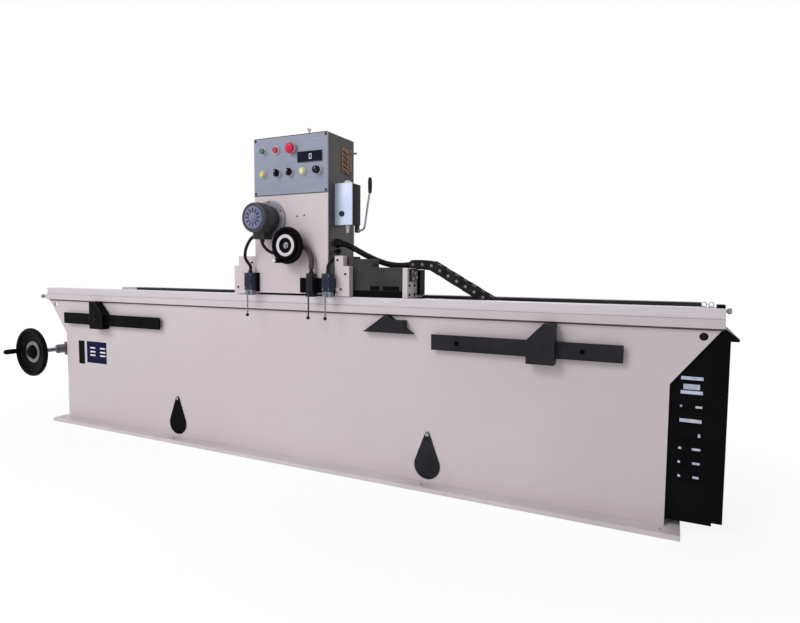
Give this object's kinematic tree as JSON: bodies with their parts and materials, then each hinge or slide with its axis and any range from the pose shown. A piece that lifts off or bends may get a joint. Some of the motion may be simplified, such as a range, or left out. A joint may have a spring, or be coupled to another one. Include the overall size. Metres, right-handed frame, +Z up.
{
  "type": "planer knife grinder",
  "caption": "Long floor-standing planer knife grinder: a flared plate bed with rails, a travelling grinding carriage with control column, trip dogs, a drag chain and a tilting knife table.",
  "frame": {"origin": "on the floor, at the middle of the anchor holes", "axes": "+X along the bed to the right as the operator sees it, +Y to the rear, +Z up"},
  "size_m": [4.126, 1.0105, 1.661],
  "materials": {
    "paint": "satin pale cream enamel",
    "bright_steel": "machined",
    "black_paint": "gloss black",
    "dark_iron": "dark grey",
    "label": "flat navy, bare",
    "black_plastic": "moulded",
    "black_rubber": "jacketed",
    "dark_case": "dark grey enamel",
    "panel_silver": "blue-silver anodised",
    "motor_grey": "grey-green enamel",
    "pump_silver": "satin",
    "abrasive": "fine abrasive grain",
    "green_plastic": "moulded",
    "red_plastic": "moulded",
    "yellow_plastic": "moulded",
    "pale_plastic": "moulded"
  },
  "bodies": {
    "bed": {"front_plate": "paint", "rear_plate": "paint", "cross_plates": "paint", "chain_tray": "paint", "foot_flanges": "paint", "way_frame": "paint", "guide_rails": "bright_steel", "bed_fasteners": "bright_steel", "drive_guard": "black_paint", "traverse_gearmotor": "dark_iron", "traverse_chain": "bright_steel", "dog_bars": "black_paint", "name_plates": "label", "worm_bearing": "dark_iron", "table_brackets": "paint", "drag_chain": "black_plastic"},
    "carriage": {"saddle_base": "dark_iron", "saddle_housing": "dark_iron", "saddle_blocks": "paint", "chain_bracket": "black_paint", "column_front": "paint", "column_case": "dark_case", "control_panel": "panel_silver", "panel_trim": "bright_steel", "feed_motor": "motor_grey", "oil_pump": "pump_silver", "limit_switches": "black_paint", "trunk_conduit": "black_rubber", "control_cables": "black_rubber", "head_post": "dark_iron"},
    "head": {"head_slide": "paint", "grinding_motor": "motor_grey", "wheel_guard": "paint"},
    "wheel": {"grinding_wheel": "abrasive"},
    "feed_wheel": {"feed_handwheel": "black_paint", "feed_shaft": "bright_steel"},
    "screw": {"feed_screw": "bright_steel"},
    "pinion": {"motor_pinion": "bright_steel"},
    "table_wheel": {"table_handwheel": "black_paint", "worm_shaft": "bright_steel"},
    "table": {"knife_table": "bright_steel", "table_trunnions": "bright_steel"},
    "left_cover": {"left_access_cover": "black_paint"},
    "right_cover": {"right_access_cover": "black_paint"},
    "left_dog": {"left_trip_dog": "black_paint"},
    "right_dog": {"right_trip_dog": "black_paint"},
    "left_lever": {"left_switch_lever": "bright_steel"},
    "middle_lever": {"middle_switch_lever": "bright_steel"},
    "right_lever": {"right_switch_lever": "bright_steel"},
    "pump_lever": {"oil_pump_lever": "bright_steel"},
    "green_cap": {"green_button": "green_plastic"},
    "red_cap": {"red_button": "red_plastic"},
    "emergency_cap": {"emergency_button": "red_plastic"},
    "yellow_cap": {"yellow_button": "yellow_plastic"},
    "pale_cap": {"pale_button": "pale_plastic"},
    "left_switch": {"left_selector": "black_plastic"},
    "middle_switch": {"middle_selector": "black_plastic"},
    "knob": {"speed_knob": "black_plastic"},
    "drive_sprocket_body": {"drive_sprocket": "bright_steel"},
    "idler_sprocket_body": {"idler_sprocket": "bright_steel"}
  },
  "joints": [
    {"name": "carriage_traverse", "type": "slide", "parent": "bed", "child": "carriage", "axis": [1, 0, 0], "range_m": [-1.08, 0.98], "deforming": ["drag_chain"]},
    {"name": "left_dog_slide", "type": "slide", "parent": "bed", "child": "left_dog", "axis": [1, 0, 0], "range_m": [-0.276, 0.439]},
    {"name": "right_dog_slide", "type": "slide", "parent": "bed", "child": "right_dog", "axis": [1, 0, 0], "range_m": [-0.415, 0.245]},
    {"name": "left_lever_swing", "type": "hinge", "parent": "carriage", "child": "left_lever", "pos_m": [-0.188, -0.3188, 0.862], "axis": [0, 1, 0], "range_deg": [-30, 30], "stiffness_Nm_per_rad": 0.5},
    {"name": "middle_lever_swing", "type": "hinge", "parent": "carriage", "child": "middle_lever", "pos_m": [0.184, -0.3188, 0.862], "axis": [0, 1, 0], "range_deg": [-30, 30], "stiffness_Nm_per_rad": 0.5},
    {"name": "right_lever_swing", "type": "hinge", "parent": "carriage", "child": "right_lever", "pos_m": [0.28, -0.3188, 0.862], "axis": [0, 1, 0], "range_deg": [-30, 30], "stiffness_Nm_per_rad": 0.5},
    {"name": "feed_handwheel_turn", "type": "hinge", "parent": "carriage", "child": "feed_wheel", "pos_m": [0.068, -0.327, 1.093], "axis": [0, 1, 0], "range_deg": [-5760, 8640]},
    {"name": "head_feed", "type": "slide", "parent": "carriage", "child": "head", "axis": [0, 0, 1], "range_m": [-0.0801, 0.1201]},
    {"name": "feed_screw_turn", "type": "hinge", "parent": "carriage", "child": "screw", "pos_m": [0.068, 0.085, 1.2], "axis": [0, 0, 1], "range_deg": [-5765, 8645]},
    {"name": "motor_pinion_turn", "type": "hinge", "parent": "carriage", "child": "pinion", "pos_m": [-0.079, -0.19, 1.226], "axis": [0, 1, 0], "range_deg": [-34100, 22750]},
    {"name": "wheel_spin", "type": "hinge", "parent": "head", "child": "wheel", "pos_m": [-0.18, 0.42, 0.92], "axis": [0, 0, 1], "continuous": true},
    {"name": "table_handwheel_turn", "type": "hinge", "parent": "bed", "child": "table_wheel", "pos_m": [-2, -0.315, 0.43], "axis": [0, 1, 0], "range_deg": [0, 2400]},
    {"name": "table_tilt", "type": "hinge", "parent": "bed", "child": "table", "pos_m": [0, 0.42, 0.64], "axis": [-1, 0, 0], "range_deg": [-0.1, 60.1]},
    {"name": "drive_sprocket_turn", "type": "hinge", "parent": "bed", "child": "drive_sprocket_body", "pos_m": [1.83, 0, 0.74], "axis": [0, 1, 0], "range_deg": [-1335, 1212]},
    {"name": "idler_sprocket_turn", "type": "hinge", "parent": "bed", "child": "idler_sprocket_body", "pos_m": [-1.83, 0, 0.74], "axis": [0, 1, 0], "range_deg": [-1335, 1212]},
    {"name": "pump_lever_pull", "type": "hinge", "parent": "carriage", "child": "pump_lever", "pos_m": [0.36, -0.15, 1.169], "axis": [1, 0, 0], "range_deg": [0, 75], "stiffness_Nm_per_rad": 0.6, "springref_deg": -28.65},
    {"name": "left_cover_swing", "type": "hinge", "parent": "bed", "child": "left_cover", "pos_m": [-0.775, -0.2423, 0.24], "axis": [0, 1, 0], "range_deg": [-110, 110]},
    {"name": "right_cover_swing", "type": "hinge", "parent": "bed", "child": "right_cover", "pos_m": [0.775, -0.2423, 0.24], "axis": [0, 1, 0], "range_deg": [-110, 110]},
    {"name": "green_press", "type": "slide", "parent": "carriage", "child": "green_cap", "axis": [0, 1, 0], "range_m": [0, 0.003], "stiffness_N_per_m": 400},
    {"name": "red_press", "type": "slide", "parent": "carriage", "child": "red_cap", "axis": [0, 1, 0], "range_m": [0, 0.003], "stiffness_N_per_m": 400},
    {"name": "yellow_press", "type": "slide", "parent": "carriage", "child": "yellow_cap", "axis": [0, 1, 0], "range_m": [0, 0.003], "stiffness_N_per_m": 400},
    {"name": "pale_press", "type": "slide", "parent": "carriage", "child": "pale_cap", "axis": [0, 1, 0], "range_m": [0, 0.003], "stiffness_N_per_m": 400},
    {"name": "emergency_press", "type": "slide", "parent": "carriage", "child": "emergency_cap", "axis": [0, 1, 0], "range_m": [0, 0.005], "stiffness_N_per_m": 600},
    {"name": "left_selector_turn", "type": "hinge", "parent": "carriage", "child": "left_switch", "pos_m": [-0.0306, -0.28, 1.45172], "axis": [0, 1, 0], "range_deg": [-45, 45]},
    {"name": "middle_selector_turn", "type": "hinge", "parent": "carriage", "child": "middle_switch", "pos_m": [0.04552, -0.28, 1.45172], "axis": [0, 1, 0], "range_deg": [-45, 45]},
    {"name": "speed_knob_turn", "type": "hinge", "parent": "carriage", "child": "knob", "pos_m": [0.207, -0.28, 1.45172], "axis": [0, 1, 0], "range_deg": [-135, 135]}
  ],
  "couplings": [
    {"joint": "head_feed", "follows": "feed_handwheel_turn", "m_per_rad": 0.00079577},
    {"joint": "feed_screw_turn", "follows": "feed_handwheel_turn", "ratio": 1},
    {"joint": "motor_pinion_turn", "follows": "feed_handwheel_turn", "ratio": -3.9434},
    {"joint": "table_tilt", "follows": "table_handwheel_turn", "ratio": 0.025},
    {"joint": "drive_sprocket_turn", "follows": "carriage_traverse", "rad_per_m": 21.505},
    {"joint": "idler_sprocket_turn", "follows": "carriage_traverse", "rad_per_m": 21.505}
  ]
}
